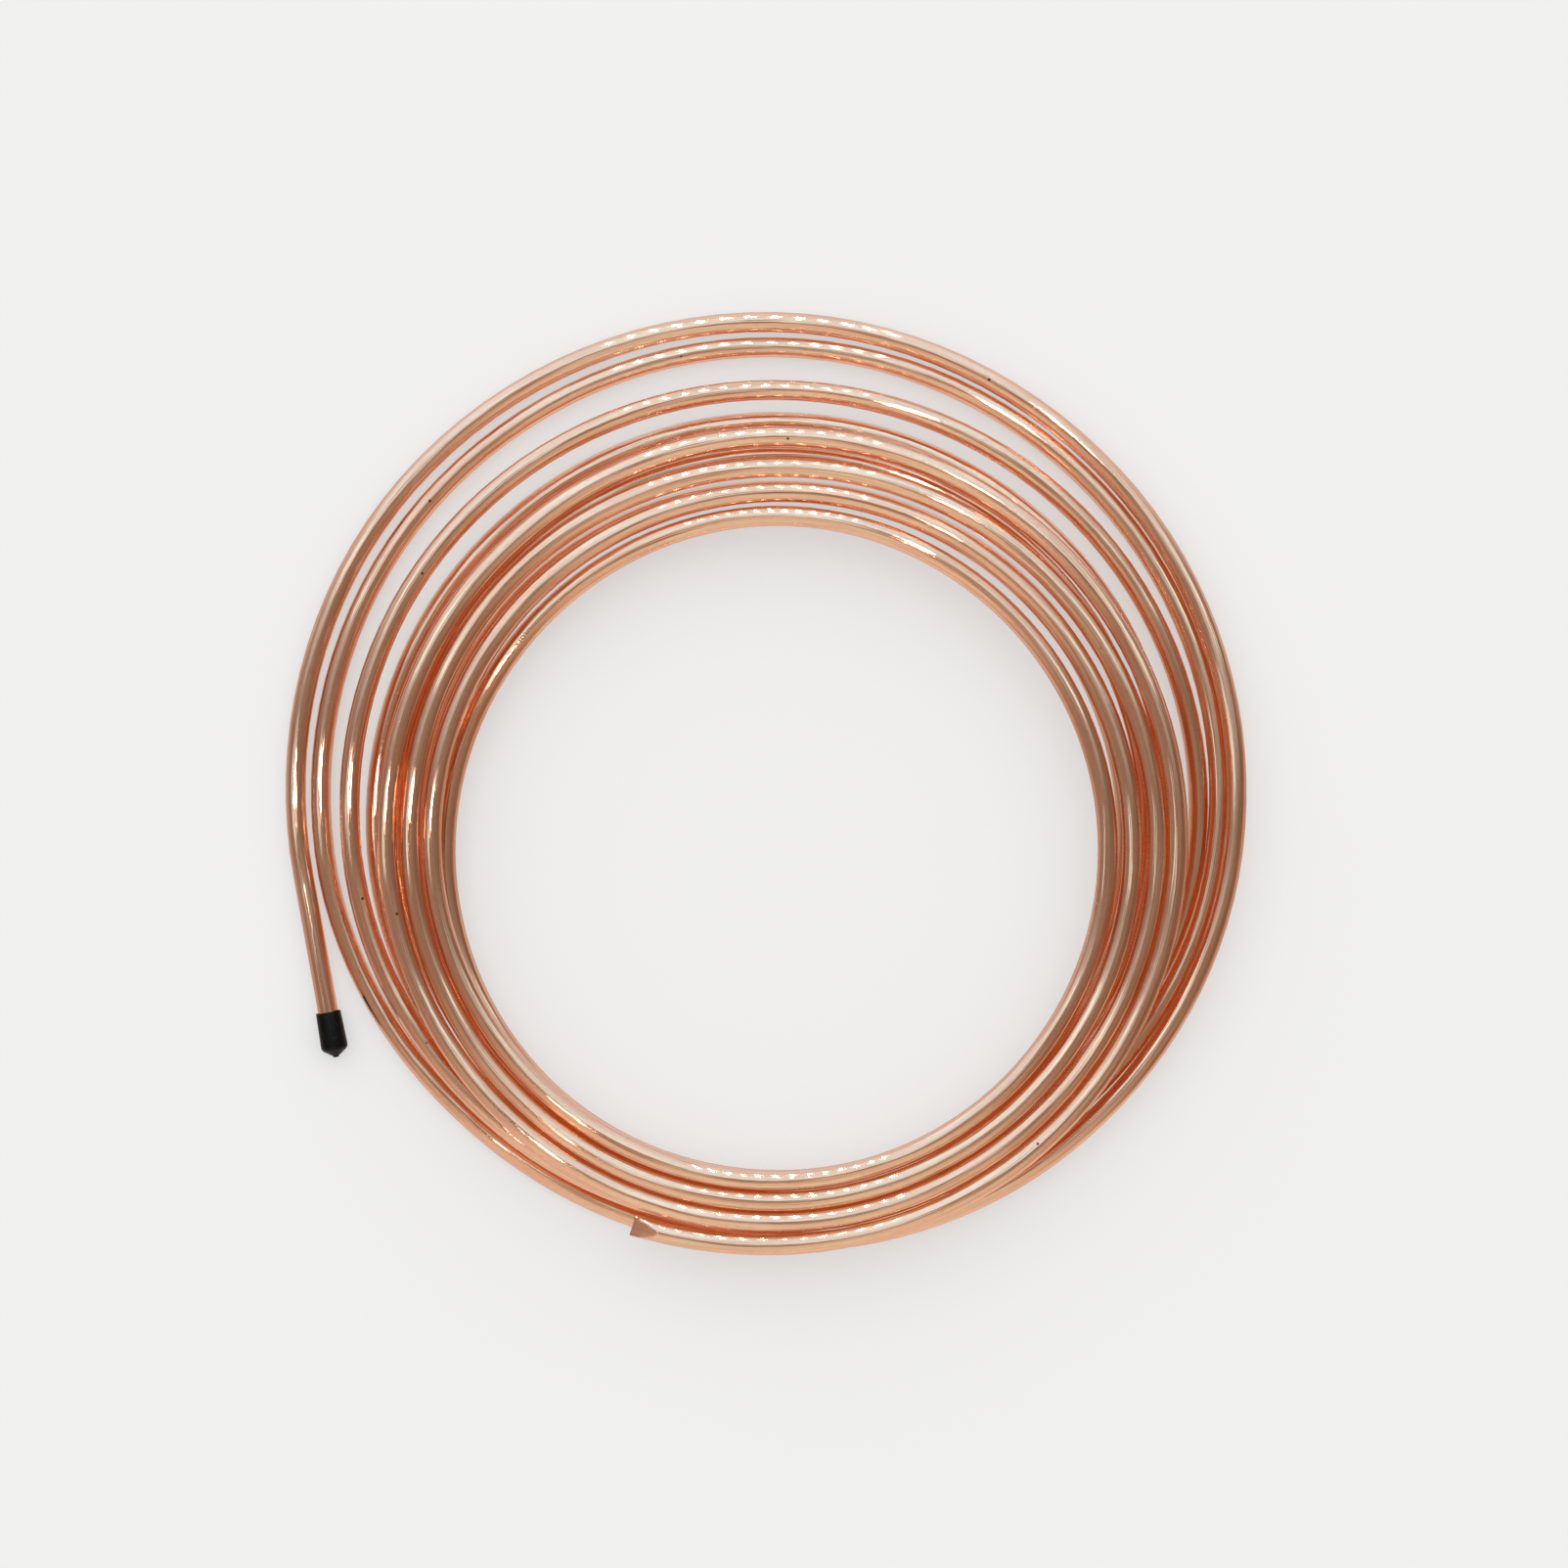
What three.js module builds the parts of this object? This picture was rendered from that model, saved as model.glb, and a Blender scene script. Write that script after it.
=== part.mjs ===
// A loose coil of soft copper tube, lying flat on its back, with a push-on cap on one end.
// Millimetres, +Z up. Its front faces up, and the origin is on the floor under its middle.
import * as THREE from 'three';

// The tube
const tubeDiameter = 6.35;
const tubeWall = 0.76;
const turnClearance = 0.15; // air left between turns that lie against each other
const tubeSides = 12;
const boreSides = 6;
const pinchLength = 8; // stretch over which the front end is pressed flat where it was nipped off
const pinchWidth = 6.7;
const pinchSlit = 0.2; // hairline left between the two walls at the nipped end

// The coil
const eyeWidth = 202.5; // clear opening inside the innermost turn
const ringsPerTurn = 30; // sections along each turn
const tailLength = 53.5; // straight end of the tube that stands off the coil and takes the cap
const tailLeaves = 267; // clock angle at which the tail leaves the outermost turn
const nippedEnd = 201; // clock angle of the nipped end, in front at the bottom
const tailRise = 1; // how far the tail lifts off the back, which makes room for the fuller cap

// The cap
const capLength = 14.5;
const capMouthDiameter = 7.9;
const capEndDiameter = 8.6;
const capFit = 0.25; // air left between cap and tube
const capFloor = 1.6; // vinyl left between the pocket and the shoulder of the closed end
const capConeHeight = 2.2;
const capNippleDiameter = 1.6;
const capNippleHeight = 0.5;
const capMouthLip = 0.25;
const capSides = 24;

// How the turns lie. A turn is stated at eight clock positions, seen from the front: lower left,
// left, upper left, top, upper right, right, lower right and bottom. out counts tube widths from
// the innermost turn, and across counts them from the middle of the coil towards the back. The
// tube is wound inwards at the back, from the tail, and then outwards again in front.
const turns = [
  { out: [4.6, 7.1, 9.25, 9.7, 8.35, 6.1, 3.9, 2.93], across: [1, 1, 1, 0.9, 0.5, -0.1, 0, 1] },
  { out: [3.55, 5.9, 7.9, 8.5, 7.35, 5.3, 2.85, 1.88], across: [1, 1, 1, 1, 0.9, 0.5, 0.1, 0] },
  { out: [2.7, 4.5, 6, 6.35, 5.85, 4.4, 2.45, 1.87], across: [0, 0, 0, 0, 0.4, 1, 1.05, 1] },
  { out: [2.1, 3.35, 4.4, 4.85, 4.25, 3, 1.55, 0.88], across: [1, 1, 1, 1, 0.6, 0.15, 0, 0] },
  { out: [1.07, 1.95, 2.8, 3.2, 2.95, 2, 1.2, 0.86], across: [0, 0, 0, 0, 0.2, 0.6, 1, 1] },
  { out: [0.65, 0.95, 1.45, 1.55, 1.55, 0.95, 0.15, -0.15], across: [1, 1, 1, 1, 0.8, 0.35, 0.05, 0] },
  { out: [-0.07, -0.05, 0, 0.2, 0.1, 0, -0.1, -0.15], across: [0, 0, -0.5, -1, -1, -1, -1, -1] },
  { out: [0.05, 0.55, 1.05, 1.35, 1.4, 1.2, 0.97, 0.85], across: [-1, -1, -1, -1, -1, -1, -1, -1] },
  { out: [1.13, 1.6, 2.3, 2.55, 2.65, 2.42, 2, 1.86], across: [-1, -1, -1, -1, -1, -1, -1, -1] },
  { out: [2.15, 2.75, 3.5, 4.05, 3.9, 3.38, 3, 2.93], across: [-1, -1, -1, -1, -1.1, -1.3, -1.2, -1] },
];
const lieBeyondEnd = { out: 3.6, across: -1 }; // where the last turn is heading as it ends

const degree = Math.PI / 180;
const fullTurn = 360;
const clockPositions = 8;
const firstClock = 225;
const pitch = tubeDiameter + turnClearance;
const innerTurnRadius = eyeWidth / 2 + tubeDiameter / 2;
const ringAngle = fullTurn / ringsPerTurn;

// Lie of the whole tube as one smooth curve of (out, across)
const lie = new THREE.SplineCurve([
  ...turns.flatMap(({ out, across }) => out.map((layer, i) => new THREE.Vector2(layer, across[i]))),
  new THREE.Vector2(lieBeyondEnd.out, lieBeyondEnd.across),
]);
const lieSteps = lie.points.length - 1;

// Middle of the tube at a clock angle, counted on past a full turn for each further turn, in the
// coil's own axes: X to the right and Z up the clock face, and Y towards its back
function tubeMiddle(clock) {
  const { x: out, y: across } = lie.getPoint((clock - firstClock) / (fullTurn / clockPositions) / lieSteps);
  const radius = innerTurnRadius + pitch * out;
  return new THREE.Vector3(
    radius * Math.sin(clock * degree),
    pitch * across,
    radius * Math.cos(clock * degree),
  );
}

const lastClock = nippedEnd + fullTurn * turns.length;
const nippedTip = tubeMiddle(lastClock);
const pinchClock = lastClock - pinchLength / Math.hypot(nippedTip.x, nippedTip.z) / degree;
const ringClocks = [tailLeaves];
let ringClock = (Math.ceil(tailLeaves / ringAngle - 0.5) + 0.5) * ringAngle;
for (; ringClock < pinchClock; ringClock += ringAngle) ringClocks.push(ringClock);
ringClocks.push(pinchClock, lastClock);

const tailRoot = tubeMiddle(tailLeaves);
const tailDirection = tailRoot.clone().sub(tubeMiddle(tailLeaves + 1)).setY(0).normalize();
tailDirection.setY(-tailRise / tailLength).normalize();
const tailEnd = tailRoot.clone().addScaledVector(tailDirection, tailLength);

// The tail, then ring by ring round the coil, so that the sections of neighbouring turns line up
class CoilPath extends THREE.Curve {
  getPoint(t, target = new THREE.Vector3()) {
    const place = t * ringClocks.length;
    if (place <= 1) return target.lerpVectors(tailEnd, tailRoot, place);
    const ring = Math.min(Math.floor(place), ringClocks.length - 1);
    const clock = THREE.MathUtils.lerp(ringClocks[ring - 1], ringClocks[ring], place - ring);
    return target.copy(tubeMiddle(clock));
  }

  getUtoTmapping(u) {
    return u;
  }

  // One axis of the section always points across the coil, so the tube doesn't twist on its way
  computeFrenetFrames(segments) {
    const frames = { tangents: [], normals: [], binormals: [] };
    for (let i = 0; i <= segments; i += 1) {
      const tangent = this.getTangentAt(i / segments);
      const binormal = tangent.clone().cross(new THREE.Vector3(0, 1, 0)).normalize();
      frames.tangents.push(tangent);
      frames.normals.push(binormal.clone().cross(tangent));
      frames.binormals.push(binormal);
    }
    return frames;
  }
}

function polygon(Shape, diameter, sides) {
  const outline = new Shape();
  const corners = Array.from({ length: sides }, (_, i) => {
    const angle = ((i + 0.5) / sides) * 2 * Math.PI;
    return new THREE.Vector2(Math.cos(angle), Math.sin(angle)).multiplyScalar(diameter / 2);
  });
  return outline.setFromPoints(corners);
}

// Presses the last section flat from front and back, and spreads it a little
function pinchTip(geometry) {
  const position = geometry.getAttribute('position');
  const outward = nippedTip.clone().setY(0).normalize();
  const offset = new THREE.Vector3();
  for (let i = 0; i < position.count; i += 1) {
    offset.fromBufferAttribute(position, i).sub(nippedTip);
    if (offset.length() > (tubeDiameter + turnClearance) / 2) continue;
    const onBore = offset.length() < (tubeDiameter - tubeWall) / 2;
    const halfDepth = pinchSlit / 2 + (onBore ? 0 : tubeWall);
    const spread = offset.dot(outward) * (pinchWidth / tubeDiameter - 1);
    offset.setY(THREE.MathUtils.clamp(offset.y, -halfDepth, halfDepth));
    offset.addScaledVector(outward, spread).add(nippedTip);
    position.setXYZ(i, offset.x, offset.y, offset.z);
  }
}

function makeTube() {
  const section = polygon(THREE.Shape, tubeDiameter, tubeSides);
  section.holes.push(polygon(THREE.Path, tubeDiameter - 2 * tubeWall, boreSides));
  const geometry = new THREE.ExtrudeGeometry(section, {
    extrudePath: new CoilPath(),
    steps: ringClocks.length,
  });
  pinchTip(geometry);
  const copper = new THREE.MeshStandardMaterial({ color: 0xc07a56, roughness: 0.28, metalness: 1 });
  const mesh = new THREE.Mesh(geometry, copper);
  mesh.name = 'copper_tube';
  return mesh;
}

// The cap is turned about its own axis, with the mouth up and the closed end at its origin
function makeCap() {
  const pocketRadius = (tubeDiameter / 2 + capFit) / Math.cos(Math.PI / capSides);
  const shoulder = capNippleHeight + capConeHeight;
  const pocketFloor = shoulder + capFloor;
  const profile = [
    [0, 0],
    [capNippleDiameter / 2, 0],
    [capNippleDiameter / 2, capNippleHeight],
    [capEndDiameter / 2, shoulder],
    [capMouthDiameter / 2, capLength - capMouthLip],
    [capMouthDiameter / 2 - capMouthLip, capLength],
    [pocketRadius, capLength],
    [pocketRadius, pocketFloor],
    [0, pocketFloor],
  ].map(([radius, height]) => new THREE.Vector2(radius, height));
  const vinyl = new THREE.MeshStandardMaterial({ color: 0x0b0b0c, roughness: 0.35, metalness: 0 });
  const mesh = new THREE.Mesh(new THREE.LatheGeometry(profile, capSides), vinyl);
  mesh.name = 'end_cap';
  const capUp = tailDirection.clone().negate();
  mesh.quaternion
    .setFromUnitVectors(new THREE.Vector3(0, 0, 1), capUp)
    .multiply(new THREE.Quaternion().setFromAxisAngle(new THREE.Vector3(1, 0, 0), Math.PI / 2));
  mesh.position.copy(tailEnd).addScaledVector(tailDirection, pocketFloor + capFit);
  return mesh;
}

const coil = new THREE.Group();
coil.add(makeTube(), makeCap());
coil.rotation.x = -Math.PI / 2; // lays it on its back
const reach = new THREE.Box3().setFromObject(coil, true);
const middle = reach.getCenter(new THREE.Vector3());
coil.position.set(-middle.x, -middle.y, -reach.min.z);

export default coil;
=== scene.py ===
"""A loose coil of soft copper tube, lying flat on its back, with a black push-on cap on one end."""

import math

import bmesh
import bpy
from mathutils import Matrix, Vector


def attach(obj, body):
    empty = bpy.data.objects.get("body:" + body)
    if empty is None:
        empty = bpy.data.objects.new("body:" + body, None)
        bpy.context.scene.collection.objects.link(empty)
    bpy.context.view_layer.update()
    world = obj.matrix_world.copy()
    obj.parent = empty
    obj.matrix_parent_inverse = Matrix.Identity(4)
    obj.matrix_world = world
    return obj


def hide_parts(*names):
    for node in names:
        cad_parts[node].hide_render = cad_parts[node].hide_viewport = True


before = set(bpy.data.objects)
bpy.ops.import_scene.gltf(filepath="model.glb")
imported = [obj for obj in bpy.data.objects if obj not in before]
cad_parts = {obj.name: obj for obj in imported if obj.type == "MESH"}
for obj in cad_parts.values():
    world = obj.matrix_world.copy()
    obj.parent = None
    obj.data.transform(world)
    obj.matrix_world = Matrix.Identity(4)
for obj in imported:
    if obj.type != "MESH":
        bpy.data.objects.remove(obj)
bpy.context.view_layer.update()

# ------------------------------------------------------------------------------------------------
# The coiled tube. One length of soft quarter inch copper tube, drawn, annealed and wound by hand
# into ten loose turns: inwards at the back from the straight tail, then outwards again in front,
# where the last end was nipped off and pressed shut with cutters.

TUBE_DIAMETER = 0.00635
TUBE_WALL = 0.00076
TUBE_SIDES = 32
TURN_CLEARANCE = 0.00015  # air between turns that lie against each other
EYE_WIDTH = 0.2025  # clear opening inside the innermost turn
TAIL_LENGTH = 0.0535  # straight end that stands off the coil and takes the cap
TAIL_LEAVES = 267  # clock angle at which the tail leaves the outermost turn
NIPPED_END = 201  # clock angle of the nipped end, in front at the bottom
TAIL_RISE = 0.001  # how far the tail lifts off the back, which makes room for the fuller cap
COIL_HUB = Vector((0.0032504, -0.0218329, 0.0100348))  # middle of the eye
TO_BACK = Vector((0, 0, -1))  # the coil lies on its back, with the top of its clock face at +Y
STEPS_PER_TURN = 120
NIP_STEP = 0.0005
NIP_STEPS = 28
WELD_DISTANCE = 0.000001

# How the turns lie. A turn is stated at eight clock positions, seen from the front: lower left,
# left, upper left, top, upper right, right, lower right and bottom. The first row counts tube
# widths out from the innermost turn, the second counts them from the middle towards the back.
TURNS = [
    ((4.6, 7.1, 9.25, 9.7, 8.35, 6.1, 3.9, 2.93), (1, 1, 1, 0.9, 0.5, -0.1, 0, 1)),
    ((3.55, 5.9, 7.9, 8.5, 7.35, 5.3, 2.85, 1.88), (1, 1, 1, 1, 0.9, 0.5, 0.1, 0)),
    ((2.7, 4.5, 6, 6.35, 5.85, 4.4, 2.45, 1.87), (0, 0, 0, 0, 0.4, 1, 1.05, 1)),
    ((2.1, 3.35, 4.4, 4.85, 4.25, 3, 1.55, 0.88), (1, 1, 1, 1, 0.6, 0.15, 0, 0)),
    ((1.07, 1.95, 2.8, 3.2, 2.95, 2, 1.2, 0.86), (0, 0, 0, 0, 0.2, 0.6, 1, 1)),
    ((0.65, 0.95, 1.45, 1.55, 1.55, 0.95, 0.15, -0.15), (1, 1, 1, 1, 0.8, 0.35, 0.05, 0)),
    ((-0.07, -0.05, 0, 0.2, 0.1, 0, -0.1, -0.15), (0, 0, -0.5, -1, -1, -1, -1, -1)),
    ((0.05, 0.55, 1.05, 1.35, 1.4, 1.2, 0.97, 0.85), (-1, -1, -1, -1, -1, -1, -1, -1)),
    ((1.13, 1.6, 2.3, 2.55, 2.65, 2.42, 2, 1.86), (-1, -1, -1, -1, -1, -1, -1, -1)),
    ((2.15, 2.75, 3.5, 4.05, 3.9, 3.38, 3, 2.93), (-1, -1, -1, -1, -1.1, -1.3, -1.2, -1)),
]
LIE_BEYOND_END = (3.6, -1)  # where the last turn is heading as it ends
FIRST_CLOCK = 225
CLOCK_STEP = 45

lie_points = [Vector(pair) for turn in TURNS for pair in zip(*turn)] + [Vector(LIE_BEYOND_END)]


def tube_lie(clock):
    """How far out and how far across the tube lies, in tube widths, on a smooth curve."""
    place = (clock - FIRST_CLOCK) / CLOCK_STEP
    last = len(lie_points) - 1
    i = min(max(math.floor(place), 0), last - 1)
    t = place - i
    start, end = lie_points[i], lie_points[i + 1]
    leaving = (end - lie_points[max(i - 1, 0)]) / 2
    arriving = (lie_points[min(i + 2, last)] - start) / 2
    bend = 2 * (start - end) + leaving + arriving
    swing = 3 * (end - start) - 2 * leaving - arriving
    return ((bend * t + swing) * t + leaving) * t + start


def tube_middle(clock):
    """Middle of the tube at a clock angle, counted on past a full turn for each further turn."""
    out, across = tube_lie(clock)
    pitch = TUBE_DIAMETER + TURN_CLEARANCE
    radius = (EYE_WIDTH + TUBE_DIAMETER) / 2 + pitch * out
    angle = math.radians(clock)
    on_clock_face = Vector((math.sin(angle), math.cos(angle), 0)) * radius
    return COIL_HUB + on_clock_face + TO_BACK * (pitch * across)


def coil_clocks():
    """Clock angles of the tube's rings, close together where the end is nipped."""
    last_clock = NIPPED_END + 360 * len(TURNS)
    tip_radius = math.hypot(*(tube_middle(last_clock) - COIL_HUB).xy)
    nip_angle = math.degrees(NIP_STEP / tip_radius)
    nip_clock = last_clock - NIP_STEPS * nip_angle
    rings = math.ceil((nip_clock - TAIL_LEAVES) / 360 * STEPS_PER_TURN)
    along = [TAIL_LEAVES + (nip_clock - TAIL_LEAVES) * i / rings for i in range(rings)]
    return along + [nip_clock + nip_angle * i for i in range(NIP_STEPS + 1)]


tail_root = tube_middle(TAIL_LEAVES)
tail_direction = tail_root - tube_middle(TAIL_LEAVES + 1)
tail_direction.z = 0
tail_direction.normalize()
tail_direction.z = TAIL_RISE / TAIL_LENGTH
tail_direction.normalize()
tail_end = tail_root + tail_direction * TAIL_LENGTH
TAIL_STEPS = 10
tail = [tail_end.lerp(tail_root, i / TAIL_STEPS) for i in range(TAIL_STEPS)]

route = bpy.data.curves.new("tube route", "CURVE")
route.dimensions = "3D"
line = route.splines.new("POLY")
route_points = tail + [tube_middle(clock) for clock in coil_clocks()]
line.points.add(len(route_points) - 1)
for point, place in zip(line.points, route_points):
    point.co = (*place, 1)


def put(tree, kind, inputs=None, **settings):
    """Adds a node with its settings, and links or sets each input that is given."""
    node = tree.nodes.new(kind)
    for name, value in settings.items():
        setattr(node, name, value)
    for key, value in (inputs or {}).items():
        if isinstance(value, bpy.types.NodeSocket):
            tree.links.new(value, node.inputs[key])
        else:
            node.inputs[key].default_value = value
    return node


def sum_of(tree, operation, *values):
    """Output of one Math node."""
    return put(tree, "ShaderNodeMath", dict(enumerate(values)), operation=operation).outputs[0]


def vector_sum(tree, operation, *values):
    """Output of one Vector Math node: a number for a dot product or a length, else a vector."""
    node = put(tree, "ShaderNodeVectorMath", dict(enumerate(values)), operation=operation)
    return node.outputs["Value" if operation in {"DOT_PRODUCT", "LENGTH"} else "Vector"]


def blend(tree, factor, first, second):
    """Colour between two colours, each a plain colour or another node's output."""
    node = put(tree, "ShaderNodeMix", data_type="RGBA")
    for key, value in {"Factor_Float": factor, "A_Color": first, "B_Color": second}.items():
        socket = next(entry for entry in node.inputs if entry.identifier == key)
        if isinstance(value, bpy.types.NodeSocket):
            tree.links.new(value, socket)
        elif key == "Factor_Float":
            socket.default_value = value
        else:
            socket.default_value = (*value, 1)
    return next(entry for entry in node.outputs if entry.identifier == "Result_Color")


def add_sockets(tree, sockets, in_out="INPUT"):
    """Gives a tree its named inputs or outputs."""
    for name, kind in sockets.items():
        tree.interface.new_socket(name, in_out=in_out, socket_type=kind)


def keep_value(tree, geometry, data_type, value):
    """Stores a value on each point of a curve, and gives the geometry and the stored value."""
    node = tree.nodes.new("GeometryNodeCaptureAttribute")
    node.capture_items.new(data_type, "Value")
    tree.links.new(geometry, node.inputs["Geometry"])
    tree.links.new(value, node.inputs[1])
    return node.outputs["Geometry"], node.outputs[1]


def build_tube_tree():
    """Sweeps the tube along its route, presses the nipped end shut and gives the tube its wall."""
    tree = bpy.data.node_groups.new("Drawn tube", "GeometryNodeTree")
    tree.is_modifier = True
    add_sockets(tree, {
        "Route": "NodeSocketGeometry",
        "Tube Diameter": "NodeSocketFloat",
        "Wall": "NodeSocketFloat",
        "Sides": "NodeSocketInt",
        "Nip Half Thickness": "NodeSocketFloat",
        "Nip Slope": "NodeSocketFloat",
        "Nip Tilt": "NodeSocketFloat",
        "Nip Length": "NodeSocketFloat",
        "Nip Spread": "NodeSocketFloat",
        "Crease Angle": "NodeSocketFloat",
        "Finish": "NodeSocketMaterial",
    })
    add_sockets(tree, {"Tube": "NodeSocketGeometry"}, "OUTPUT")
    given = put(tree, "NodeGroupInput").outputs

    # The route keeps its middle line, its heading and both lengths for use after the sweep
    parameter = put(tree, "GeometryNodeSplineParameter").outputs["Length"]
    spline_length = put(tree, "GeometryNodeSplineLength").outputs["Length"]
    to_tip = sum_of(tree, "SUBTRACT", spline_length, parameter)
    position = put(tree, "GeometryNodeInputPosition").outputs[0]
    tangent = put(tree, "GeometryNodeInputTangent").outputs[0]
    sweep, middle = keep_value(tree, given["Route"], "VECTOR", position)
    sweep, heading = keep_value(tree, sweep, "VECTOR", tangent)
    sweep, along = keep_value(tree, sweep, "FLOAT", parameter)
    sweep, from_tip = keep_value(tree, sweep, "FLOAT", to_tip)

    radius = sum_of(tree, "MULTIPLY", given["Tube Diameter"], 0.5)
    ring = put(tree, "GeometryNodeCurvePrimitiveCircle", {
        "Resolution": given["Sides"],
        "Radius": radius,
    })
    ring, around = keep_value(tree, ring.outputs["Curve"], "VECTOR", position)
    skin = put(tree, "GeometryNodeCurveToMesh", {"Curve": sweep, "Profile Curve": ring})

    # The pattern of the metal follows the tube as if it were pulled straight
    flat = put(tree, "ShaderNodeSeparateXYZ", {0: around}).outputs
    straight = put(tree, "ShaderNodeCombineXYZ", {"X": flat[0], "Y": flat[1], "Z": along})
    named = skin.outputs["Mesh"]
    for name, value in (("straightened tube", straight.outputs[0]), ("drawing direction", heading)):
        named = put(tree, "GeometryNodeStoreNamedAttribute", {
            "Geometry": named,
            "Name": name,
            "Value": value,
        }, data_type="FLOAT_VECTOR", domain="POINT").outputs[0]

    # The jaws press a tilted flat on the end, front and back, and spread it a little
    offset = vector_sum(tree, "SUBTRACT", position, middle)
    inwards = vector_sum(tree, "CROSS_PRODUCT", tuple(TO_BACK), heading)
    inwards = vector_sum(tree, "NORMALIZE", inwards)
    towards_hub = vector_sum(tree, "DOT_PRODUCT", offset, inwards)
    behind = vector_sum(tree, "DOT_PRODUCT", offset, tuple(TO_BACK))
    opening = sum_of(tree, "MULTIPLY", from_tip, given["Nip Slope"])
    opening = sum_of(tree, "ADD", opening, given["Nip Half Thickness"])
    tilt = sum_of(tree, "MULTIPLY", towards_hub, given["Nip Tilt"])
    front_limit = sum_of(tree, "SUBTRACT", tilt, opening)
    back_limit = sum_of(tree, "ADD", tilt, opening)
    pressed = sum_of(tree, "MINIMUM", sum_of(tree, "MAXIMUM", behind, front_limit), back_limit)
    spread = put(tree, "ShaderNodeMapRange", {
        "Value": from_tip,
        "From Min": 0.0,
        "From Max": given["Nip Length"],
        "To Min": given["Nip Spread"],
        "To Max": 1.0,
    }, interpolation_type="SMOOTHSTEP")
    widened = sum_of(tree, "MULTIPLY", towards_hub, spread.outputs["Result"])
    new_offset = put(tree, "ShaderNodeVectorMath", {0: inwards, "Scale": widened}, operation="SCALE")
    depth = put(tree, "ShaderNodeVectorMath", {0: tuple(TO_BACK), "Scale": pressed}, operation="SCALE")
    new_offset = vector_sum(tree, "ADD", new_offset.outputs[0], depth.outputs[0])
    nipped = put(tree, "GeometryNodeSetPosition", {
        "Geometry": named,
        "Position": vector_sum(tree, "ADD", middle, new_offset),
    })

    # The bore lies a wall's thickness inside, joined to the skin by a flat ring at each end
    bore = put(tree, "GeometryNodeExtrudeMesh", {
        "Mesh": nipped.outputs[0],
        "Offset Scale": sum_of(tree, "MULTIPLY", given["Wall"], -1.0),
        "Individual": False,
    }, mode="FACES")
    bore = put(tree, "GeometryNodeFlipFaces", {0: bore.outputs["Mesh"]})
    whole = put(tree, "GeometryNodeJoinGeometry")
    for piece in (nipped, bore):
        tree.links.new(piece.outputs[0], whole.inputs[0])
    welded = put(tree, "GeometryNodeMergeByDistance", {
        "Geometry": whole.outputs[0],
        "Distance": WELD_DISTANCE,
    })
    smooth = put(tree, "GeometryNodeSetShadeSmooth", {0: welded.outputs[0]}, domain="FACE")
    edge_angle = put(tree, "GeometryNodeInputMeshEdgeAngle").outputs["Unsigned Angle"]
    rims = put(tree, "GeometryNodeSetShadeSmooth", {
        "Geometry": smooth.outputs[0],
        "Selection": sum_of(tree, "GREATER_THAN", edge_angle, given["Crease Angle"]),
        "Shade Smooth": False,
    }, domain="EDGE")
    real = put(tree, "GeometryNodeRealizeInstances", {0: rims.outputs[0]})
    finished = put(tree, "GeometryNodeSetMaterial", {
        "Geometry": real.outputs[0],
        "Material": given["Finish"],
    })
    put(tree, "NodeGroupOutput", {"Tube": finished.outputs[0]})
    return tree


SCUFF_FADE = 0.12  # how far the noise rises over a scuff's soft edge
SPECK_CORE = 0.6  # share of a speck's radius at full strength


def build_handling_marks():
    """Small scuffs and specks from handling and storage, as masks that change over a surface."""
    tree = bpy.data.node_groups.new("Handling marks", "ShaderNodeTree")
    add_sockets(tree, {
        "Vector": "NodeSocketVector",
        "Scuff Size": "NodeSocketFloat",
        "Scuff Share": "NodeSocketFloat",
        "Speck Spacing": "NodeSocketFloat",
        "Speck Size": "NodeSocketFloat",
        "Speck Share": "NodeSocketFloat",
    })
    add_sockets(tree, {"Scuffs": "NodeSocketFloat", "Specks": "NodeSocketFloat"}, "OUTPUT")
    given = put(tree, "NodeGroupInput").outputs

    finer = sum_of(tree, "DIVIDE", 1.0, given["Scuff Size"])
    grain = put(tree, "ShaderNodeTexNoise", {
        "Vector": given["Vector"],
        "Scale": finer,
        "Detail": 3.0,
        "Roughness": 0.6,
    })
    edge = sum_of(tree, "SUBTRACT", 1.0, given["Scuff Share"])
    scuffs = put(tree, "ShaderNodeMapRange", {
        "Value": grain.outputs["Fac"],
        "From Min": edge,
        "From Max": sum_of(tree, "ADD", edge, SCUFF_FADE),
    }, interpolation_type="SMOOTHSTEP")

    cells = put(tree, "ShaderNodeTexVoronoi", {
        "Vector": given["Vector"],
        "Scale": sum_of(tree, "DIVIDE", 1.0, given["Speck Spacing"]),
    }, feature="F1")
    reach = sum_of(tree, "DIVIDE", given["Speck Size"], given["Speck Spacing"])
    spot = put(tree, "ShaderNodeMapRange", {
        "Value": cells.outputs["Distance"],
        "From Min": sum_of(tree, "MULTIPLY", reach, SPECK_CORE),
        "From Max": reach,
        "To Min": 1.0,
        "To Max": 0.0,
    }, interpolation_type="SMOOTHSTEP")
    chance = put(tree, "ShaderNodeSeparateXYZ", {0: cells.outputs["Color"]}).outputs["X"]
    chosen = sum_of(tree, "LESS_THAN", chance, given["Speck Share"])
    specks = sum_of(tree, "MULTIPLY", spot.outputs["Result"], chosen)
    put(tree, "NodeGroupOutput", {"Scuffs": scuffs.outputs["Result"], "Specks": specks})
    return tree


handling_marks = build_handling_marks()

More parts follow.
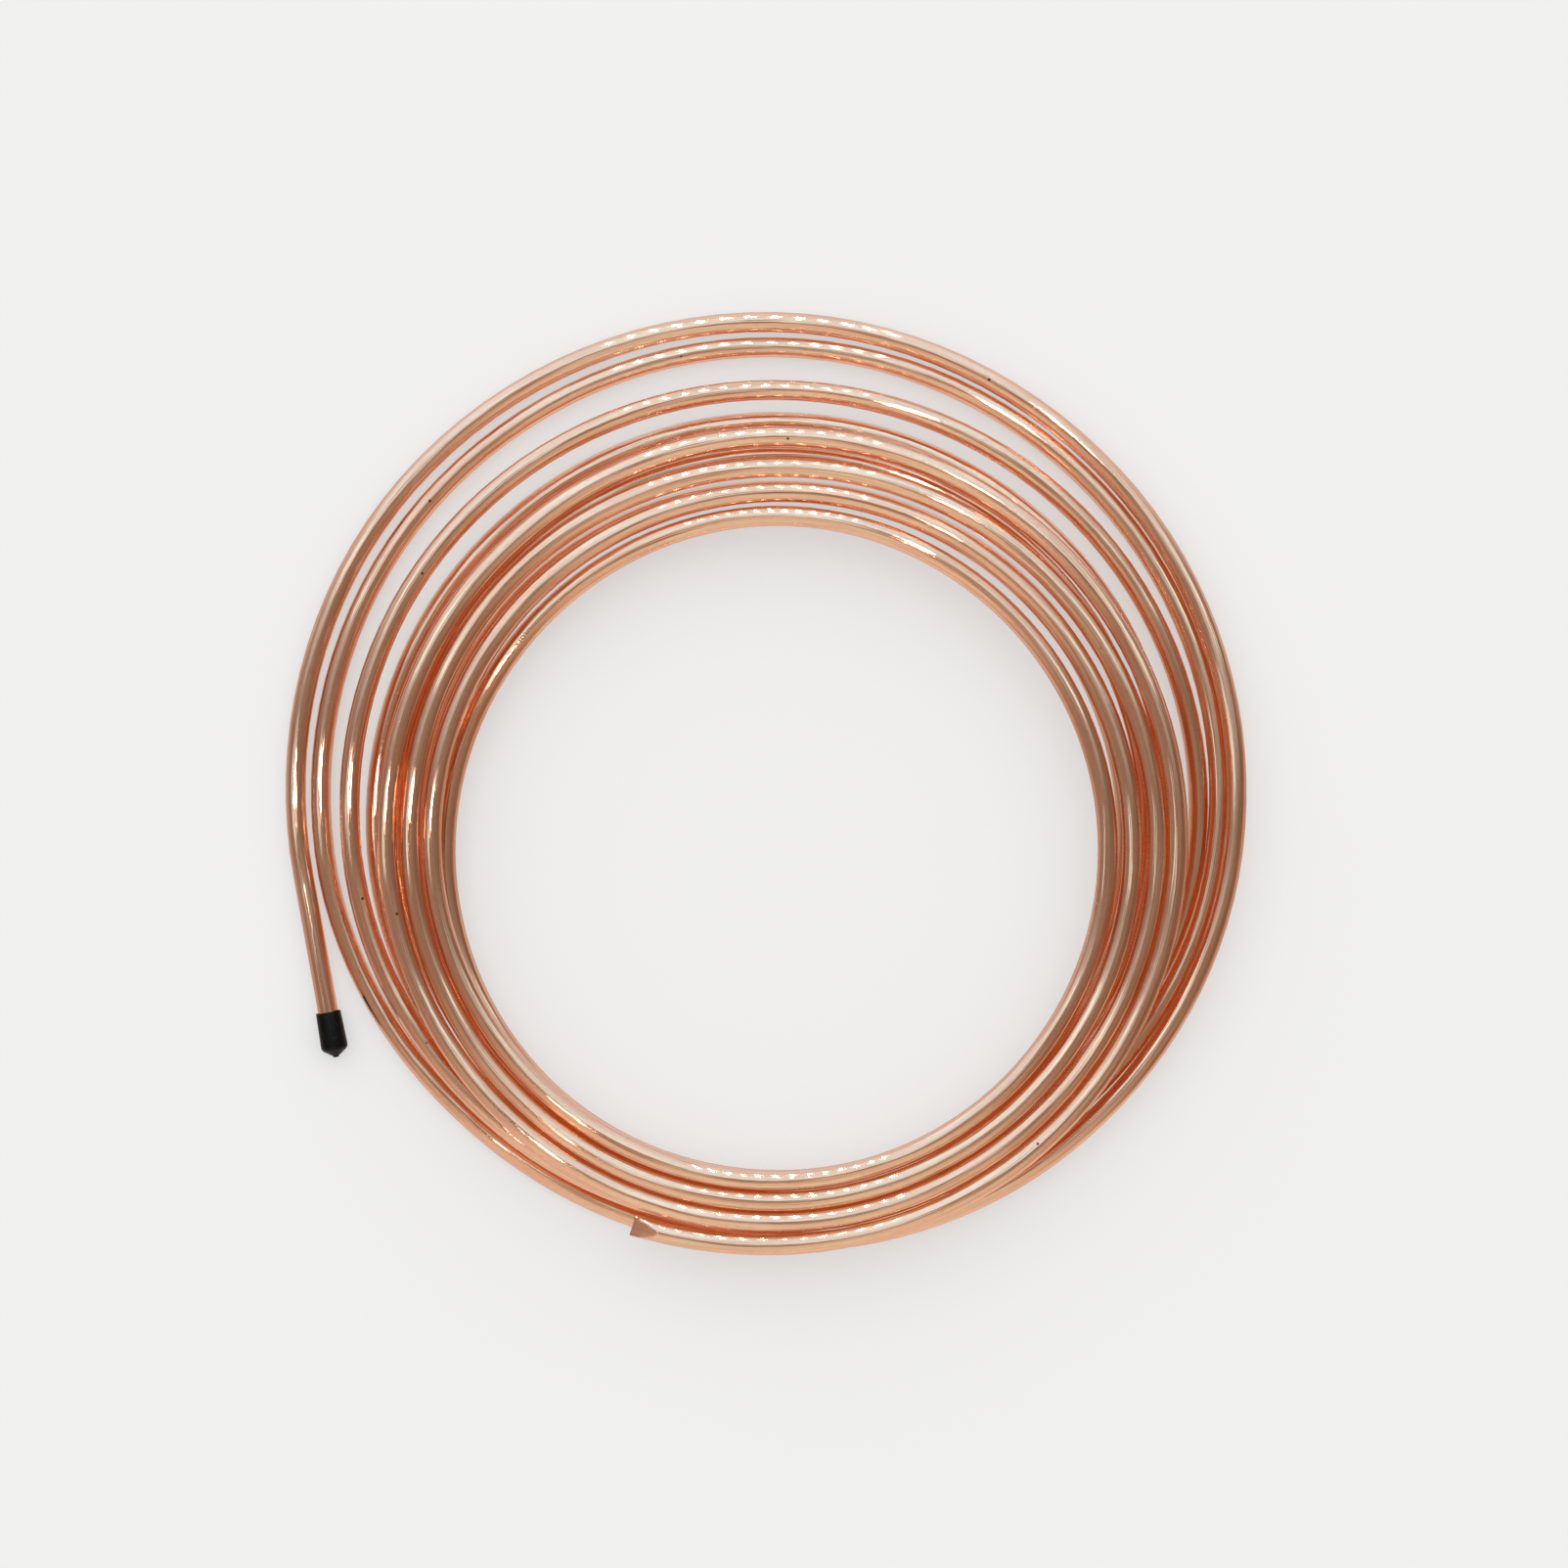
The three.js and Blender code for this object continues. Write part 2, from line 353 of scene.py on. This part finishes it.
COPPER_BRIGHT = (0.95, 0.60, 0.42)
COPPER_TONED = (0.93, 0.53, 0.35)
COPPER_DULL = (0.74, 0.41, 0.28)
COPPER_SPECK = (0.20, 0.08, 0.04)
CREASE_BOUNCES = 4
CREASE_GLOW = (0.60, 0.55, 0.33)
DRAWN_LINE_WIDTH = 0.0002
DRAWN_LINE_LENGTH = 0.03
DRAWN_LINE_LEAN = 0.7
WAVE_HEIGHT = 0.00002
RIDGE_HEIGHT = 0.00009


def build_copper():
    """Bright drawn copper: a thin uneven tone, lengthwise drawing lines, scuffs and specks."""
    material = bpy.data.materials.new("drawn copper")
    material.use_nodes = True
    tree = material.node_tree
    tree.nodes.clear()
    straight = put(tree, "ShaderNodeAttribute", attribute_name="straightened tube")
    straight = straight.outputs["Vector"]

    def stretched_noise(across, along, detail):
        scale = (1 / across, 1 / across, 1 / along)
        place = put(tree, "ShaderNodeMapping", {"Vector": straight, "Scale": scale})
        return put(tree, "ShaderNodeTexNoise", {
            "Vector": place.outputs[0],
            "Scale": 1.0,
            "Detail": detail,
        }).outputs["Fac"]

    marks = put(tree, "ShaderNodeGroup", node_tree=handling_marks)
    for name, value in {
        "Scuff Size": 0.0035,
        "Scuff Share": 0.36,
        "Speck Spacing": 0.009,
        "Speck Size": 0.0006,
        "Speck Share": 0.12,
    }.items():
        marks.inputs[name].default_value = value
    tree.links.new(straight, marks.inputs["Vector"])

    tone = put(tree, "ShaderNodeMapRange", {
        "Value": stretched_noise(across=0.006, along=0.07, detail=2.0),
        "From Min": 0.4,
        "From Max": 0.65,
    })
    base = blend(tree, tone.outputs["Result"], COPPER_BRIGHT, COPPER_TONED)
    streaks = put(tree, "ShaderNodeMapRange", {
        "Value": stretched_noise(across=0.0008, along=0.03, detail=3.0),
        "From Min": 0.42,
        "From Max": 0.62,
        "To Max": 0.5,
    })
    base = blend(tree, streaks.outputs["Result"], base, COPPER_DULL)
    mottling = put(tree, "ShaderNodeMapRange", {
        "Value": stretched_noise(across=0.001, along=0.0025, detail=4.0),
        "From Min": 0.48,
        "From Max": 0.68,
        "To Max": 0.35,
    })
    base = blend(tree, mottling.outputs["Result"], base, COPPER_DULL)
    drawn_lines = stretched_noise(across=DRAWN_LINE_WIDTH, along=DRAWN_LINE_LENGTH, detail=1.0)
    lines = put(tree, "ShaderNodeMapRange", {
        "Value": drawn_lines,
        "From Min": 0.52,
        "From Max": 0.64,
        "To Max": 0.55,
    })
    base = blend(tree, lines.outputs["Result"], base, COPPER_DULL)
    specked = blend(tree, marks.outputs["Specks"], base, COPPER_SPECK)

    ridges = stretched_noise(across=0.0009, along=0.06, detail=1.0)
    waves = stretched_noise(across=0.004, along=0.012, detail=1.0)
    roughness = put(tree, "ShaderNodeMapRange", {
        "Value": marks.outputs["Scuffs"],
        "To Min": 0.07,
        "To Max": 0.1,
    })
    wavy = put(tree, "ShaderNodeBump", {"Height": waves, "Strength": 1.0, "Distance": WAVE_HEIGHT})
    ridged = put(tree, "ShaderNodeBump", {
        "Height": ridges,
        "Strength": 1.0,
        "Distance": RIDGE_HEIGHT,
        "Normal": wavy.outputs[0],
    })
    # The drawing lines are finer than a pixel: each tips the surface to one side of the tube
    drawing_direction = put(tree, "ShaderNodeAttribute", attribute_name="drawing direction")
    sideways = vector_sum(tree, "CROSS_PRODUCT", ridged.outputs[0],
                          drawing_direction.outputs["Vector"])
    lean = sum_of(tree, "MULTIPLY", sum_of(tree, "SUBTRACT", drawn_lines, 0.5), DRAWN_LINE_LEAN)
    tipped = put(tree, "ShaderNodeVectorMath", {0: sideways, "Scale": lean}, operation="SCALE")
    drawn = vector_sum(tree, "NORMALIZE",
                       vector_sum(tree, "ADD", ridged.outputs[0], tipped.outputs[0]))
    copper = put(tree, "ShaderNodeBsdfPrincipled", {
        "Base Color": specked,
        "Metallic": 1.0,
        "Roughness": roughness.outputs["Result"],
        "Anisotropic": 1.0,
        "Anisotropic Rotation": 0.25,
        "Tangent": drawing_direction.outputs["Vector"],
        "Normal": drawn,
    })
    # Between the turns light keeps bouncing: after a few bounces one warm glow stands for the rest
    depth = put(tree, "ShaderNodeLightPath").outputs["Ray Depth"]
    rest = put(tree, "ShaderNodeEmission", {"Color": (*CREASE_GLOW, 1)})
    surface = put(tree, "ShaderNodeMixShader", {
        0: sum_of(tree, "GREATER_THAN", depth, CREASE_BOUNCES - 0.5),
        1: copper.outputs[0],
        2: rest.outputs[0],
    })
    put(tree, "ShaderNodeOutputMaterial", {"Surface": surface.outputs[0]})
    return material


drawn_copper = build_copper()


def set_inputs(modifier, values):
    """Sets a modifier's named inputs, each by its socket's identifier."""
    for item in modifier.node_group.interface.items_tree:
        if item.in_out == "INPUT" and item.name in values:
            modifier[item.identifier] = values[item.name]


tube_route = bpy.data.objects.new("tube_route", route)
bpy.context.scene.collection.objects.link(tube_route)
sweep_modifier = tube_route.modifiers.new("Drawn tube", "NODES")
sweep_modifier.node_group = build_tube_tree()
set_inputs(sweep_modifier, {
    "Tube Diameter": TUBE_DIAMETER,
    "Wall": TUBE_WALL,
    "Sides": TUBE_SIDES,
    "Nip Half Thickness": 0.00088,
    "Nip Slope": 0.3,
    "Nip Tilt": -0.28,
    "Nip Length": 0.008,
    "Nip Spread": 1.1,
    "Crease Angle": math.radians(50),
    "Finish": drawn_copper,
})
depsgraph = bpy.context.evaluated_depsgraph_get()
tube_mesh = bpy.data.meshes.new_from_object(tube_route.evaluated_get(depsgraph))
bpy.data.objects.remove(tube_route)
coiled_tube = bpy.data.objects.new("coiled_tube", tube_mesh)
bpy.context.scene.collection.objects.link(coiled_tube)
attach(coiled_tube, "root")
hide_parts("copper_tube")

# ------------------------------------------------------------------------------------------------
# The end cap. A black vinyl cap, dipped on a round former and pushed over the end of the tail: its
# closed end is a little fuller than its mouth, with the small pip that the last drop leaves.

CAP_LENGTH = 0.0145
CAP_MOUTH_RADIUS = 0.00395
CAP_END_RADIUS = 0.0043
CAP_POCKET_RADIUS = 0.00345
CAP_FIT = 0.00025  # air between the tube's end and the pocket's floor
CAP_POCKET_FLOOR = 0.0043
CAP_CONE_HEIGHT = 0.0022
CAP_SHOULDER_ROUND = 0.0012
CAP_PIP_RADIUS = 0.0008
CAP_PIP_HEIGHT = 0.0005
CAP_LIP_ROUND = 0.0003
CAP_SIDES = 64
CAP_MOUTH_WAVE = 0.00012
CAP_WAVY_SHARE = 0.2  # share of the length, at the mouth, that is wavy
CAP_PIP_FLARE = 1.3  # the pip is this much wider where it leaves the cone
PEEL_SCALE = 900.0
PEEL_HEIGHT = 0.00003
VINYL_BLACK = (0.003, 0.003, 0.0032)
VINYL_DUSTY = (0.008, 0.008, 0.0083)


def rounded(profile, corner_rounds, steps=6):
    """Profile with each corner that has a radius cut back to a smooth curve."""
    points = []
    for i, corner in enumerate(profile):
        reach = corner_rounds.get(i, 0)
        if not reach:
            points.append(corner)
            continue
        before = (profile[i - 1] - corner).normalized() * reach
        after = (profile[i + 1] - corner).normalized() * reach
        for k in range(steps + 1):
            t = k / steps
            points.append(corner + before * (1 - t) ** 2 + after * t ** 2)
    return points


def build_cap():
    """Turns the cap about its own axis, mouth up, with its closed end at the origin."""
    profile = [Vector(pair) for pair in (
        (0, 0),
        (CAP_PIP_RADIUS, 0),
        (CAP_PIP_RADIUS * CAP_PIP_FLARE, CAP_PIP_HEIGHT),
        (CAP_END_RADIUS, CAP_PIP_HEIGHT + CAP_CONE_HEIGHT),
        (CAP_MOUTH_RADIUS, CAP_LENGTH),
        (CAP_POCKET_RADIUS, CAP_LENGTH),
        (CAP_POCKET_RADIUS, CAP_POCKET_FLOOR),
        (0, CAP_POCKET_FLOOR),
    )]
    rounds = {
        1: CAP_PIP_HEIGHT / 2,
        2: CAP_PIP_HEIGHT / 2,
        3: CAP_SHOULDER_ROUND,
        4: CAP_LIP_ROUND,
        5: CAP_LIP_ROUND / 2,
    }
    outline = rounded(profile, rounds)
    shape = bmesh.new()
    bottom = shape.verts.new((0, 0, 0))
    floor = shape.verts.new((0, 0, CAP_POCKET_FLOOR))
    rings = []
    for radius, height in outline[1:-1]:
        ring = []
        for k in range(CAP_SIDES):
            angle = 2 * math.pi * k / CAP_SIDES
            mouth = max(0, height / CAP_LENGTH - 1 + CAP_WAVY_SHARE) / CAP_WAVY_SHARE
            wave = CAP_MOUTH_WAVE * mouth * (math.cos(2 * angle + 0.6) + 0.5 * math.cos(5 * angle))
            spot = (radius * math.cos(angle), radius * math.sin(angle), height + wave)
            ring.append(shape.verts.new(spot))
        rings.append(ring)
    for k in range(CAP_SIDES):
        following = (k + 1) % CAP_SIDES
        shape.faces.new((bottom, rings[0][following], rings[0][k]))
        shape.faces.new((floor, rings[-1][k], rings[-1][following]))
        for lower, upper in zip(rings, rings[1:]):
            shape.faces.new((lower[k], lower[following], upper[following], upper[k]))
    for face in shape.faces:
        face.smooth = True
    mesh = bpy.data.meshes.new("push_on_cap")
    turned_up = (-tail_direction).to_track_quat("Z", "Y").to_matrix().to_4x4()
    at_tail = Matrix.Translation(tail_end + tail_direction * (CAP_POCKET_FLOOR + CAP_FIT))
    bmesh.ops.transform(shape, matrix=at_tail @ turned_up, verts=shape.verts)
    shape.to_mesh(mesh)
    shape.free()
    return mesh


def build_vinyl():
    """Dipped black vinyl: a soft gloss over a faint orange peel, with scuffs and dust."""
    material = bpy.data.materials.new("black vinyl")
    material.use_nodes = True
    tree = material.node_tree
    tree.nodes.clear()
    place = put(tree, "ShaderNodeTexCoord").outputs["Object"]
    marks = put(tree, "ShaderNodeGroup", node_tree=handling_marks)
    for name, value in {
        "Scuff Size": 0.0018,
        "Scuff Share": 0.42,
        "Speck Spacing": 0.0018,
        "Speck Size": 0.00022,
        "Speck Share": 0.2,
    }.items():
        marks.inputs[name].default_value = value
    tree.links.new(place, marks.inputs["Vector"])
    dusty = sum_of(tree, "MAXIMUM", marks.outputs["Scuffs"], marks.outputs["Specks"])
    colour = blend(tree, dusty, VINYL_BLACK, VINYL_DUSTY)
    roughness = put(tree, "ShaderNodeMapRange", {
        "Value": marks.outputs["Scuffs"],
        "To Min": 0.25,
        "To Max": 0.4,
    })
    peel = put(tree, "ShaderNodeTexNoise", {"Vector": place, "Scale": PEEL_SCALE, "Detail": 2.0})
    bump = put(tree, "ShaderNodeBump", {
        "Height": peel.outputs["Fac"],
        "Strength": 1.0,
        "Distance": PEEL_HEIGHT,
    })
    vinyl = put(tree, "ShaderNodeBsdfPrincipled", {
        "Base Color": colour,
        "Roughness": roughness.outputs["Result"],
        "Specular IOR Level": 0.15,
        "Normal": bump.outputs[0],
    })
    put(tree, "ShaderNodeOutputMaterial", {"Surface": vinyl.outputs[0]})
    return material


push_on_cap = bpy.data.objects.new("push_on_cap", build_cap())
bpy.context.scene.collection.objects.link(push_on_cap)
push_on_cap.data.materials.append(build_vinyl())
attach(push_on_cap, "root")
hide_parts("end_cap")

# ------------------------------------------------------------------------------------------------
# The floor. A plain pale sheet of paper that the coil lies on and that takes its shadow. Its tone
# wanders a little, as paper's does, and it fades out far from the coil.

FLOOR_RADIUS = 1.2
FLOOR_FADE = (0.9, 1.15)
FLOOR_PALE = (0.855, 0.853, 0.846)
FLOOR_SHADED = (0.838, 0.836, 0.828)
FLOOR_GLOW = 0.55  # share of the tone that no shadow takes away
FLOOR_WANDER_SCALE = 4.0
FLOOR_SIDES = 96


def build_pale_floor():
    """Matt pale paper that fades out with the distance from its middle."""
    material = bpy.data.materials.new("pale floor")
    material.use_nodes = True
    tree = material.node_tree
    tree.nodes.clear()
    place = put(tree, "ShaderNodeTexCoord").outputs["Object"]
    alpha = put(tree, "ShaderNodeMapRange", {
        "Value": vector_sum(tree, "LENGTH", place),
        "From Min": FLOOR_FADE[0],
        "From Max": FLOOR_FADE[1],
        "To Min": 1.0,
        "To Max": 0.0,
    }, interpolation_type="SMOOTHSTEP").outputs["Result"]
    wander = put(tree, "ShaderNodeTexNoise", {
        "Vector": place,
        "Scale": FLOOR_WANDER_SCALE,
        "Detail": 1.0,
    })
    tone = blend(tree, wander.outputs["Fac"], FLOOR_PALE, FLOOR_SHADED)
    paper = put(tree, "ShaderNodeBsdfPrincipled", {
        "Base Color": blend(tree, FLOOR_GLOW, tone, (0, 0, 0)),
        "Roughness": 0.8,
        "Specular IOR Level": 0.0,
        "Emission Color": tone,
        "Emission Strength": FLOOR_GLOW,
        "Alpha": alpha,
    })
    put(tree, "ShaderNodeOutputMaterial", {"Surface": paper.outputs[0]})
    return material


floor_shape = bmesh.new()
bmesh.ops.create_circle(floor_shape, cap_ends=True, radius=FLOOR_RADIUS, segments=FLOOR_SIDES)
floor_mesh = bpy.data.meshes.new("floor")
floor_shape.to_mesh(floor_mesh)
floor_shape.free()
floor_mesh.materials.append(build_pale_floor())
floor_sheet = bpy.data.objects.new("floor", floor_mesh)
floor_sheet.visible_glossy = False
bpy.context.scene.collection.objects.link(floor_sheet)

# ------------------------------------------------------------------------------------------------
# The surroundings. A white photographic tent that is lit from its far side, above the coil: plain
# pale walls for the camera, a cool far wall and a warm near one in the metal, and grey soft light.

WALLS_PALE = (0.9, 0.895, 0.89)
SEEN_ABOVE = [  # how far the direction looks towards the far side, from the near side
    (-1.0, (0.80, 0.82, 0.72)),
    (-0.66, (0.84, 0.87, 0.78)),
    (-0.35, (0.80, 0.76, 0.65)),
    (-0.12, (0.36, 0.28, 0.22)),
    (0.02, (0.30, 0.27, 0.23)),
    (0.16, (0.82, 1.08, 1.24)),
    (0.42, (0.96, 1.38, 1.68)),
    (0.7, (0.86, 1.16, 1.38)),
    (1.0, (0.76, 0.94, 1.05)),
]
SEEN_BELOW = [
    (-1.0, (0.90, 0.80, 0.74)),
    (-0.6, (0.84, 0.72, 0.64)),
    (-0.3, (0.60, 0.45, 0.38)),
    (0.0, (0.56, 0.46, 0.40)),
    (0.3, (0.66, 0.62, 0.60)),
    (0.6, (0.76, 0.72, 0.74)),
    (1.0, (0.90, 1.00, 1.10)),
]
SOFT_LIGHT = [  # how far towards the key direction, and the light that comes from there
    (-1.0, (0.55, 0.55, 0.55)),
    (0.2, (0.7, 0.7, 0.7)),
    (0.75, (1.3, 1.3, 1.3)),
    (1.0, (1.65, 1.65, 1.65)),
]
SIDE_TINTS = [  # share of the light that is seen from the left, the middle and the right
    (-0.9, (1.1, 0.98, 1.02)),
    (-0.2, (1.0, 1.0, 1.0)),
    (0.2, (1.0, 1.0, 1.0)),
    (0.9, (0.82, 0.62, 0.54)),
]
WINDOWS = (  # bright openings: place and half size to the right and far side, and their light
    ((-0.57, 0.33), (0.20, 0.11), (1.15, 1.60, 1.75)),
    ((0.57, 0.33), (0.18, 0.11), (1.15, 1.55, 1.65)),
    ((-0.50, 0.0), (0.20, 0.09), (0.95, 1.20, 1.30)),
)
FAR_WALL_MIDDLE = -0.05  # the far and near walls fade towards the sides from here
SIDE_FADE = 1.0
BELOW_FADE = (0.2, -0.3)  # how high a direction looks where the lower tones begin and are full
KEY_DIRECTION = Vector((-0.1, 0.7, 0.7)).normalized()


def tone_by(tree, value, stops):
    """Colour that follows a value through the given pairs of value and tone."""
    first, last = stops[0][0], stops[-1][0]
    along = put(tree, "ShaderNodeMapRange", {"Value": value, "From Min": first, "From Max": last})
    ramp = put(tree, "ShaderNodeValToRGB", {0: along.outputs["Result"]})
    elements = ramp.color_ramp.elements
    for _ in stops[2:]:
        elements.new(0.5)
    for element, (place, tone) in zip(elements, stops):
        element.position = (place - first) / (last - first)
        element.color = (*tone, 1)
    return ramp.outputs[0]


def build_surroundings():
    """World colours by direction: one look for the camera, one for the metal, one for light."""
    world = bpy.data.worlds.new("white tent")
    bpy.context.scene.world = world
    world.use_nodes = True
    tree = world.node_tree
    tree.nodes.clear()
    direction = put(tree, "ShaderNodeTexCoord").outputs["Generated"]
    axes = put(tree, "ShaderNodeSeparateXYZ", {0: direction}).outputs
    below = put(tree, "ShaderNodeMapRange", {
        "Value": axes["Z"],
        "From Min": BELOW_FADE[0],
        "From Max": BELOW_FADE[1],
    }, interpolation_type="SMOOTHSTEP").outputs["Result"]
    aside = sum_of(tree, "ABSOLUTE", sum_of(tree, "SUBTRACT", axes["X"], FAR_WALL_MIDDLE))
    towards_middle = sum_of(tree, "SUBTRACT", 1.0, sum_of(tree, "MULTIPLY", aside, SIDE_FADE))
    reach = sum_of(tree, "MULTIPLY", axes["Y"], sum_of(tree, "MAXIMUM", towards_middle, 0.0))
    above = vector_sum(tree, "MULTIPLY", tone_by(tree, reach, SEEN_ABOVE),
                       tone_by(tree, axes["X"], SIDE_TINTS))
    for (right, far), (half_width, half_depth), light in WINDOWS:
        from_middle = vector_sum(tree, "SUBTRACT", direction, (right, far, 0))
        finer = (1 / half_width, 1 / half_depth, 0)
        share = put(tree, "ShaderNodeMapRange", {
            "Value": vector_sum(tree, "LENGTH", vector_sum(tree, "MULTIPLY", from_middle, finer)),
            "From Min": 1.0,
            "From Max": 0.5,
        }, interpolation_type="SMOOTHSTEP").outputs["Result"]
        above = blend(tree, share, above, light)
    reflected = blend(tree, below, above, tone_by(tree, axes["Y"], SEEN_BELOW))
    rays = put(tree, "ShaderNodeLightPath").outputs
    glossy = sum_of(tree, "MAXIMUM", rays["Is Glossy Ray"], rays["Is Transmission Ray"])
    towards_key = vector_sum(tree, "DOT_PRODUCT", direction, tuple(KEY_DIRECTION))
    colour = blend(tree, glossy, tone_by(tree, towards_key, SOFT_LIGHT), reflected)
    colour = blend(tree, rays["Is Camera Ray"], colour, WALLS_PALE)
    light = put(tree, "ShaderNodeBackground", {"Color": colour, "Strength": 1.0})
    put(tree, "ShaderNodeOutputWorld", {"Surface": light.outputs[0]})


build_surroundings()

# ------------------------------------------------------------------------------------------------
# The lamps. A row of narrow lamps along the tent's far wall, which the far and near side of each
# turn show as a row of dots, and three lamps beside the camera, seen as bright spots on the turns.

ROW_LAMPS = 13
ROW_PITCH = 0.0645
ROW_MIDDLE = Vector((-0.07, 1.2726, 0.7304))
ROW_LAMP_SIZE = (0.007, 0.3)
ROW_LAMP_POWER = 0.4
SPOT_SIZE = (0.05, 0.15)
SPOT_SPREAD = math.radians(5.5)  # grids keep each spot on its own part of the coil
SPOTS = (  # where each stands, the clock angle it is aimed at, and its power
    (Vector((0.24, 0.4326, 1.9304)), 30, 0.0015),
    (Vector((-0.42, 0.0026, 1.9604)), 272, 0.0013),
    (Vector((-0.23, -0.3474, 1.9604)), 216, 0.0004),
)


def hang_lamp(name, place, size, power, facing, long_axis, spread=math.pi):
    """Hangs one flat lamp that faces a direction, its longer side along an axis."""
    data = bpy.data.lights.new(name, "AREA")
    data.shape = "RECTANGLE"
    data.size, data.size_y = size
    data.energy = power
    data.spread = spread
    lamp = bpy.data.objects.new(name, data)
    back = -facing.normalized()
    along = (long_axis - back * long_axis.dot(back)).normalized()
    turn = Matrix((along.cross(back), along, back)).transposed()
    lamp.matrix_world = Matrix.Translation(place) @ turn.to_4x4()
    lamp.visible_camera = False
    lamp.visible_diffuse = False
    bpy.context.scene.collection.objects.link(lamp)


for n in range(ROW_LAMPS):
    aside = Vector(((n - (ROW_LAMPS - 1) / 2) * ROW_PITCH, 0, 0))
    hang_lamp(f"row lamp {n}", ROW_MIDDLE + aside, ROW_LAMP_SIZE, ROW_LAMP_POWER,
              Vector((0, -1, 0)), Vector((0, 0, 1)))
for n, (spot_place, clock, spot_power) in enumerate(SPOTS):
    aimed_at = tube_middle(clock + 360)
    from_hub = spot_place - COIL_HUB
    hang_lamp(f"spot lamp {n}", spot_place, SPOT_SIZE, spot_power, aimed_at - spot_place,
              Vector((from_hub.x, from_hub.y, 0)), SPOT_SPREAD)

# ------------------------------------------------------------------------------------------------
# The camera. Straight above the coil at two metres, looking down, with +Y up in its picture.

CAMERA_DISTANCE = 2.0  # from the middle of the coil's depth
CAMERA_PLACE = Vector((0.00587, -0.0004, COIL_HUB.z + CAMERA_DISTANCE))
PICTURE_WIDTH = 0.4944  # width of the view at the coil
SENSOR_WIDTH = 36.0  # in millimetres, as the camera's lens is

camera_data = bpy.data.cameras.new("camera")
camera_data.sensor_width = SENSOR_WIDTH
camera_data.lens = SENSOR_WIDTH * CAMERA_DISTANCE / PICTURE_WIDTH
camera = bpy.data.objects.new("camera", camera_data)
camera.location = CAMERA_PLACE
bpy.context.scene.collection.objects.link(camera)
bpy.context.scene.camera = camera
bpy.context.scene.view_settings.view_transform = "Standard"
